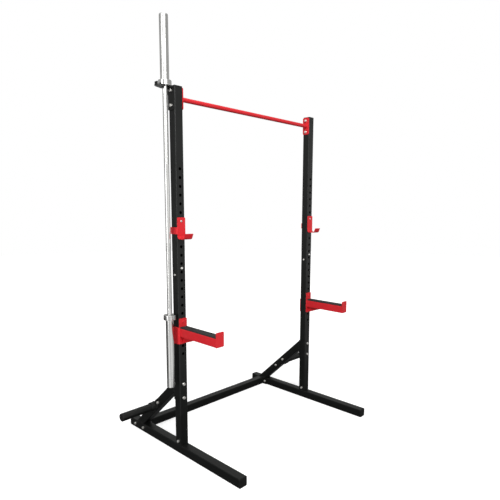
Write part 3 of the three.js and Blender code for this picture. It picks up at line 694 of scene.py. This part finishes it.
def sleeve(name, node, collar, tip):
    """Rotating sleeve from its collar face to its open tip."""
    s = 1 if tip > collar else -1
    c, t, C, S = collar, tip, COLLAR_R, SLEEVE_R
    p = [(bore, c), (bore + 4, c), (bore + 4.8, c + 0.6 * s), (bore + 6.5, c + 0.6 * s), (bore + 7.3, c), (C - 2.2, c), (C - 1.1, c + 0.25 * s), (C - 0.3, c + 1.0 * s), (C, c + 2.2 * s),
         (C, c + 8.6 * s), (C - 0.7, c + 9.2 * s), (C - 0.7, c + 10.8 * s), (C, c + 11.4 * s), (C, c + (COLLAR_H - 2.2) * s), (C - 0.3, c + (COLLAR_H - 1.0) * s),
         (C - 1.1, c + (COLLAR_H - 0.25) * s), (C - 2.2, c + COLLAR_H * s), (S + 1.6, c + COLLAR_H * s), (S + 0.5, c + (COLLAR_H + 0.4) * s), (S, c + (COLLAR_H + 1.5) * s)]
    for g in (t - 52 * s, t - 44 * s):    # grooves near the tip
        p += [(S, g - 1.2 * s), (S - 0.5, g - 0.7 * s), (S - 0.5, g + 0.7 * s), (S, g + 1.2 * s)]
    p += [(S, t - 3.4 * s), (S - 0.45, t - 1.7 * s), (S - 1.6, t - 0.5 * s), (S - 3, t), (bore + 3, t), (bore + 3, t - 5 * s), (bore, t - 5 * s)]
    o = shape(name, [turn("z", p, BAR_X, 0, 72)], bevel=0, angle=28)
    claim(o, SLEEVE, "bar_chrome", node)


sleeve("vis_sleeve_upper", "barbell_sleeve_upper", REST_Z + 0.3, BAR_TOP)
sleeve("vis_sleeve_lower", "barbell_sleeve_lower", LOWER_TOP, BAR_BOTTOM)
d = bore + 2.6
for nm, t, s in (("upper", BAR_TOP, 1), ("lower", BAR_BOTTOM, -1)):
    p = [(0, t - 4.6 * s), (d, t - 4.6 * s), (d, t - 1.4 * s), (d - 0.9, t - 0.6 * s), (9.5, t - 0.5 * s), (9.0, t - 1.3 * s), (6.0, t - 1.3 * s), (5.5, t - 0.7 * s), (0, t - 0.6 * s)]
    o = shape("vis_barbell_disc_" + nm, [turn("z", p, BAR_X, 0, 48)], bevel=0)
    claim(o, PIN, "pin_steel", "barbell_disc_" + nm)


# ------------------------------------------------------ hooks and safety arms
def strap(z0, z1, x1):
    g, t, ro, ri = GAP, STEEL, 8.0, 3.0
    xi, yf, yr = X0 - g, -HALF - g, HALF + g
    q = [(L, yf)] + arc(xi + ri, yf + ri, ri, 270, 180, 6) + arc(xi + ri, yr - ri, ri, 180, 90, 6) + [(x1, yr), (x1, yr + t)]
    q += arc(xi - t + ro, yr + t - ro, ro, 90, 180, 10) + arc(xi - t + ro, yf - t + ro, ro, 180, 270, 10) + [(L, yf - t)]
    return prism("z", q, z0, z1)


YF = -HALF - GAP
t, r, zt, z0 = STEEL, 15.0, 1463.0, 1337.0
tilt = math.atan(16 / 34)
cx, cz, by, bend = YF - t - r, z0 + t + r, -83.0, 12.0
bz = z0 + t + bend
end = -180 + math.degrees(tilt)
dr = (-math.sin(tilt) * 24, math.cos(tilt) * 24)
outer = arc(cx, cz, r + t, 0, -90, 14) + arc(by, bz, bend + t, -90, end, 12)
inner = arc(by, bz, bend, end, -90, 12) + arc(cx, cz, r, -90, 0, 14)
jprof = [(YF, zt)] + outer + [(outer[-1][0] + dr[0], outer[-1][1] + dr[1]), (inner[0][0] + dr[0], inner[0][1] + dr[1])] + inner + [(YF - t, zt)]

def hook():
    """Bent strip and its strap, joined after the strip's corners are rounded."""
    strip = shape("tmp_hook", [prism("x", jprof, X0, X1)], keep=[prism("y", rrect(X0, 1300, X1, zt, 7, 8), -200, 20)], bevel=0)
    inv = [((v.co.x) / MM, (v.co.y - SY) / MM, v.co.z / MM) for v in strip.data.vertices], [tuple(p.vertices) for p in strip.data.polygons]
    me = strip.data
    bpy.data.objects.remove(strip)
    bpy.data.meshes.remove(me)
    return inv


both("j_hook", RED, "red_paint", ["j_hook"], base=[hook()], add=[strap(1366, 1406, X1 - 3)],
     cuts=[prism("y", circle(L, HOOK_PIN_Z, PIN_R + 0.4, 36), YF - t - 4, YF + 4)], bevel=0.7)

h = YF - STEEL
both("j_hook_pin", PIN, "pin_steel", ["j_hook_pin"],
     base=[turn("y", [(0, h - 2.0), (2.6, h - 1.95), (4.9, h - 1.6), (6.2, h - 0.9), (6.7, h - 0.1), (PIN_R, h + 0.8),
                      (PIN_R, -7.5), (PIN_R - 0.6, -5.6), (PIN_R - 2.2, -4.2), (0, -4)], L, HOOK_PIN_Z, 48)], bevel=0)
both("safety_pin", RED, "red_paint", ["safety_pin"],
     base=[turn("y", [(0, h - 2.6), (2.6, h - 2.7), (3.3, h - 3.3), (4.2, h - 4.1), (6.2, h - 4.0), (7.8, h - 3.4), (8.6, h - 2.5), (8.9, h - 1.5), (8.9, h - 0.7), (8.6, h - 0.3),
                      (PIN_R, h - 0.3), (PIN_R, -7.5), (PIN_R - 0.6, -5.6), (PIN_R - 2.2, -4.2), (0, -4)], L, ARM_PIN_Z, 48)], bevel=0)

arm_o, arm_i = rrect(X0 + 1, ARM_BOTTOM, X1 - 1, ARM_TOP, 4, 6), rrect(X0 + 4, ARM_BOTTOM + 3, X1 - 4, ARM_TOP - 3, 2, 6)
arm = pipe("y", arm_o, arm_i, ARM_END - 1, YF - STEEL + 1)
gusset = prism("x", [(YF - STEEL + 1, 711), (YF - STEEL + 1, ARM_BOTTOM + 1), (-156, ARM_BOTTOM + 1), (-156, ARM_BOTTOM - 3), (-60, 716)], L - 3, L + 3)
welds = [bead(ring_path("y", rrect(X0 + 1, ARM_BOTTOM, X1 - 1, ARM_TOP, 4, 6), YF - STEEL - 0.2), 2.3),
         bead(ring_path("y", rrect(X0 + 1, ARM_BOTTOM, X1 - 1, ARM_TOP - 0.5, 4, 6), ARM_END + 0.2), 1.6)]
for sx in (-3, 3):
    welds.append(bead([(L + sx, y, ARM_BOTTOM - 0.2) for y in (-150, -110, -75, -40)], 1.8, closed=False))
both("safety_arm", RED, "red_paint", ["safety_arm"],
     base=[prism("y", rrect(X0, 707, X1, 862, 6, 6), YF - STEEL, YF)],
     add=[strap(706.0, 808, X1 - 3), arm, prism("y", rrect(X0, 753, X1, 838, 6, 6), ARM_END - STEEL, ARM_END), gusset],
     cuts=[prism("y", circle(L, ARM_PIN_Z, PIN_R + 0.4, 36), YF - STEEL - 4, YF + 4), prism("z", circle(L, ARM_END + 30, 6, 28), ARM_BOTTOM - 5, ARM_BOTTOM + 6)],
     bevel=0.7, extra=welds)

# rubber strip: crowned top with shallow lengthwise grooves
pa, pb, z1 = ARM_END + 0.5, YF - STEEL - 3.2, ARM_TOP + 0.3
xa, xc, h = X0 + 2, X1 - 2, PAD_T
prof = [(xa + 0.8, z1), (xa, z1 + 0.8), (xa, z1 + h - 2.2), (xa + 0.6, z1 + h - 0.8), (xa + 2.2, z1 + h - 0.1)]
n = 7
for i in range(n):
    u = xa + 6 + (xc - xa - 12) * i / (n - 1)
    prof += [(u - 1.3, z1 + h), (u - 0.7, z1 + h - 0.7), (u + 0.7, z1 + h - 0.7), (u + 1.3, z1 + h)]
prof += [(xc - 2.2, z1 + h - 0.1), (xc - 0.6, z1 + h - 0.8), (xc, z1 + h - 2.2), (xc, z1 + 0.8), (xc - 0.8, z1)]
prof = [p for p in reversed(prof)]
both("safety_pad", RUBBER, "pad_rubber", ["safety_pad"], base=[prism("y", prof, pa, pb)], bevel=0.35, angle=40)


# ---------------------------------------------------------------- fasteners
def fastener(axis, surface, out, a, b, kind, size=1.0):
    """Bolt head or nut with its washer on a face; out is +1 or -1 along the axis."""
    def at(u, v, w):
        return AX[axis](a + size * u, b + size * v, surface + out * size * w)
    parts = []

    def rev(profile, n=40):
        vs, fs = turn("z", profile, 0, 0, n)
        parts.append(([at(*p) for p in vs], fs))

    def lay(layers):
        vs, fs = loft("z", layers)
        parts.append(([at(*p) for p in vs], fs))
    rev([(4.9, 0.3), (9.2, 0.3), (9.5, 0.55), (9.5, 1.55), (9.2, 1.8), (4.9, 1.8)])
    hx, k = hexagon(7.95), 7.55
    ring = [(k * math.cos(2 * math.pi * i / 48), k * math.sin(2 * math.pi * i / 48)) for i in range(48)]
    face = [(0.93 * u, 0.93 * v) for u, v in ring]
    corner = [(u * 0.985, v * 0.985) for u, v in hx]
    if kind == "head":
        rev([(0, 1.8), (7.6, 1.8), (7.9, 2.05), (7.6, 2.3), (0, 2.3)])
        lay([(corner, 2.2), (hx, 2.5), (hx, 6.7), (corner, 7.2), (ring, 8.15), (face, 8.3)])
    else:
        lay([(ring, 1.75), (corner, 2.3), (hx, 2.6), (hx, 7.8), (corner, 8.2), (ring, 8.8), (face, 8.85)])
        rev([(0, 1.0), (4.6, 1.0), (4.6, 10.2), (4.0, 11.2), (0, 11.4)], 32)
        th = []
        for i in range(3):
            z = 9.0 + 0.55 * i
            th += [(4.6, z - 0.2), (4.95, z), (4.6, z + 0.2)]
        rev([(0, 8.7)] + th + [(0, 10.4)], 32)
    return parts


def bolt(name, axis, p, q, a, b, nut=True, size=1.0):
    s = 1 if q > p else -1
    lo, hi = (p - 2 * s, q + (2 if nut else 0) * s)
    c = circle(a, b, 4.95 * size, 24)
    return fastener(axis, p, -s, a, b, "head", size) + ([] if not nut else fastener(axis, q, s, a, b, "nut", size)) + [prism(axis, c, min(lo, hi), max(lo, hi))]


def bolts(name, *args, **kw):
    both(name, ZINC, "zinc_fasteners", [name], base=bolt(name, *args, **kw), bevel=0, angle=25)


bolts("splice_front_bolt", "y", -HALF, HALF, L, SPLICE_FRONT_Z, size=0.74)
bolts("splice_side_bolt", "x", X0, X1, 0, SPLICE_SIDE_Z, size=0.74)
bolts("base_bolt", "x", X0, X1, 0, BASE_BOLT_Z)
for z, k in zip(BRACE_BOLTS, ("high", "low")):
    bolts("brace_bolt_" + k, "y", -HALF, HALF + GAP + 4.5, L, z, nut=False)
for y, k in zip(FLANGE_BOLTS, ("front", "rear")):
    bolts("crossmember_bolt_" + k, "x", X0, X1 + GAP + 6, y, HALF)
for s, k in ((-1, "high"), (1, "low")):
    bolts("peg_bolt_" + k, "x", X0 - GAP - 6, X1, PEG_Y + s * PEG_BOLT * CA, PEG_Z - s * PEG_BOLT * SA)
for z, k in zip(TOP_BOLTS, ("high", "low")):
    nl, nr = "pull_up_bolt_%s_left" % k, "pull_up_bolt_%s_right" % k
    o = shape("vis_" + nl, bolt(nl, "x", X0 - GAP - STEEL, X1 + GAP + STEEL, 0, z), bevel=0, angle=25)
    claim(o, ZINC, "zinc_fasteners", nl)
    o = shape("vis_" + nr, [mirrored(p) for p in bolt(nr, "x", X0, X1 + GAP + STEEL, 0, z)], bevel=0, angle=25)
    claim(o, ZINC, "zinc_fasteners", nr)

# -------------------------------------------------------------------- stage
scene = bpy.context.scene
me = bpy.data.meshes.new("studio_floor")
R = 14.0
me.from_pydata([(R * math.cos(2 * math.pi * i / 64), R * math.sin(2 * math.pi * i / 64), -0.0006) for i in range(64)], [], [tuple(range(64))])
floor = link("studio_floor", me)
m, nt, p = nodes_of("floor_pale")
nt.links.new(mix(nt, remap(nt, noise(nt, 0.8, 3), 0.3, 0.7, 0, 1), (0.86, 0.86, 0.86), (0.88, 0.88, 0.88)), p.inputs["Base Color"])
p.inputs["Roughness"].default_value = 0.9
p.inputs["Specular IOR Level"].default_value = 0.1
# the floor brightens away from the rack, so that no horizon shows
ln = nt.nodes.new("ShaderNodeVectorMath")
ln.operation = "LENGTH"
nt.links.new(coords(nt), ln.inputs[0])
nt.links.new(remap(nt, ln.outputs["Value"], 0.4, 4.0, 0.48, 0.88), p.inputs["Emission Strength"])
p.inputs["Emission Color"].default_value = (1, 1, 1, 1)
me.materials.append(m)
floor.visible_glossy = False
floor.visible_diffuse = False


def sectors(nt, angle, table, rest):
    """Brightness by compass direction: rest, with (centre, half width, value) in degrees laid over it."""
    v = None
    for centre, half, value in table:
        k = calc(nt, "ABSOLUTE", calc(nt, "WRAP", calc(nt, "SUBTRACT", angle, math.radians(centre)), math.pi, -math.pi))
        w = remap(nt, k, math.radians(half), math.radians(half + 8), 1, 0)
        base = rest if v is None else v
        inv = calc(nt, "SUBTRACT", 1.0, w)
        v = calc(nt, "ADD", calc(nt, "MULTIPLY", base, inv), calc(nt, "MULTIPLY", w, value))
    return v


# studio flags: what the rack's own surfaces are lit by and mirror from below
flag = link("studio_flag", me.copy())
flag.location.z = -0.004
flag.data.materials.clear()
m = bpy.data.materials.new("flag_grey")
m.use_nodes = True
nt = m.node_tree
nt.nodes.clear()
mo, em = nt.nodes.new("ShaderNodeOutputMaterial"), nt.nodes.new("ShaderNodeEmission")
nt.links.new(em.outputs[0], mo.inputs[0])
sp = nt.nodes.new("ShaderNodeSeparateXYZ")
nt.links.new(coords(nt), sp.inputs[0])
ang = calc(nt, "ARCTAN2", sp.outputs[0], sp.outputs[1])
rad = calc(nt, "SQRT", calc(nt, "ADD", calc(nt, "MULTIPLY", sp.outputs[0], sp.outputs[0]), calc(nt, "MULTIPLY", sp.outputs[1], sp.outputs[1])))
far = remap(nt, rad, 5.0, 11.0, 0, 1)
near = sectors(nt, ang, [(-42, 26, 0.08), (84, 26, 0.14), (20, 30, 0.30), (134, 11, 0.40), (258, 6, 1.40), (204, 16, 1.10), (-79, 6, 0.46)], 0.80)
core = remap(nt, rad, 1.05, 1.5, 0, 1)
near = calc(nt, "ADD", calc(nt, "MULTIPLY", near, core), calc(nt, "MULTIPLY", calc(nt, "SUBTRACT", 1.0, core), 0.10))
level = calc(nt, "ADD", calc(nt, "MULTIPLY", near, calc(nt, "SUBTRACT", 1.0, far)), calc(nt, "MULTIPLY", far, 0.9))
flp = nt.nodes.new("ShaderNodeLightPath")
share = calc(nt, "ADD", 0.45, calc(nt, "MULTIPLY", flp.outputs["Is Glossy Ray"], 0.55))
nt.links.new(calc(nt, "MULTIPLY", level, share), em.inputs["Strength"])
flag.data.materials.append(m)
flag.visible_camera = False
flag.visible_shadow = False
flag.visible_transmission = False

# soft white surround; polished metal sees two darker flags at the sides
world = bpy.data.worlds.new("studio")
scene.world = world
world.use_nodes = True
nt = world.node_tree
nt.nodes.clear()
out = nt.nodes.new("ShaderNodeOutputWorld")
bg, plain, pick = nt.nodes.new("ShaderNodeBackground"), nt.nodes.new("ShaderNodeBackground"), nt.nodes.new("ShaderNodeMixShader")
tc, sep, lp = nt.nodes.new("ShaderNodeTexCoord"), nt.nodes.new("ShaderNodeSeparateXYZ"), nt.nodes.new("ShaderNodeLightPath")
nt.links.new(tc.outputs["Generated"], sep.inputs[0])
az = calc(nt, "ARCTAN2", sep.outputs[0], sep.outputs[1])     # 0 is +Y, turning to +X
low = sectors(nt, az, [(-46, 19, 0.36), (-14, 9, 0.24), (46, 18, 0.50), (78, 9, 0.34), (196, 4, 0.50)], 1.0)
high = sectors(nt, az, [(-28, 11, 0.22), (-70, 6, 0.52), (46, 22, 0.38), (100, 14, 0.42), (140, 9, 0.34), (230, 6, 0.60)], 0.82)
up = remap(nt, sep.outputs[2], 0.02, 0.22, 0, 1)
glow = calc(nt, "ADD", calc(nt, "MULTIPLY", low, calc(nt, "SUBTRACT", 1.0, up)), calc(nt, "MULTIPLY", high, up))
gl = calc(nt, "ADD", 0.60, calc(nt, "MULTIPLY", lp.outputs["Is Glossy Ray"], 0.50))
nt.links.new(calc(nt, "MULTIPLY", glow, gl), bg.inputs[1])
bg.inputs[0].default_value = (1.0, 1.0, 0.99, 1)
plain.inputs[0].default_value = (1, 1, 1, 1)
plain.inputs[1].default_value = 1.0
nt.links.new(lp.outputs["Is Camera Ray"], pick.inputs[0])
nt.links.new(bg.outputs[0], pick.inputs[1])
nt.links.new(plain.outputs[0], pick.inputs[2])
nt.links.new(pick.outputs[0], out.inputs[0])


def area(name, loc, aim, size, power, col=(1, 1, 1)):
    d = bpy.data.lights.new(name, "AREA")
    d.shape, d.size, d.size_y, d.energy, d.color = "RECTANGLE", size[0], size[1], power, col
    o = bpy.data.objects.new(name, d)
    scene.collection.objects.link(o)
    o.location = loc
    o.rotation_mode = "QUATERNION"
    o.rotation_quaternion = (Vector(aim) - Vector(loc)).to_track_quat("-Z", "Y")
    return o


area("key", (-2.5, -4.0, 4.1), (0, 0, 1.1), (2.6, 2.6), 225)
area("top", (0, 0, 5.2), (0, 0, 0), (4.0, 4.0), 46)
area("side", (-4.2, -0.5, 2.0), (0, 0, 1.4), (0.9, 3.9), 44)

# ------------------------------------------------------------------- camera
yaw, pitch, roll = math.radians(46.13), math.radians(7.76), math.radians(0.24)
dv = Vector((math.sin(yaw) * math.cos(pitch), math.cos(yaw) * math.cos(pitch), -math.sin(pitch)))
rv = Vector((math.cos(yaw), -math.sin(yaw), 0))
uv = rv.cross(dv)
r2 = rv * math.cos(roll) + uv * math.sin(roll)
u2 = -rv * math.sin(roll) + uv * math.cos(roll)
cam_d = bpy.data.cameras.new("camera")
cam = bpy.data.objects.new("camera", cam_d)
scene.collection.objects.link(cam)
cam.matrix_world = Matrix(((r2.x, u2.x, -dv.x, -2.2651), (r2.y, u2.y, -dv.y, -2.23078 + SY), (r2.z, u2.z, -dv.z, 1.50904), (0, 0, 0, 1)))
cam_d.sensor_width = 36
cam_d.lens = 462.27 / 500 * 36
cam_d.shift_x = -(256.71 - 250) / 500
cam_d.shift_y = (272.76 - 250) / 500
cam_d.clip_start, cam_d.clip_end = 0.05, 60
scene.camera = cam
scene.view_settings.view_transform = "Standard"
scene.view_settings.look = "None"
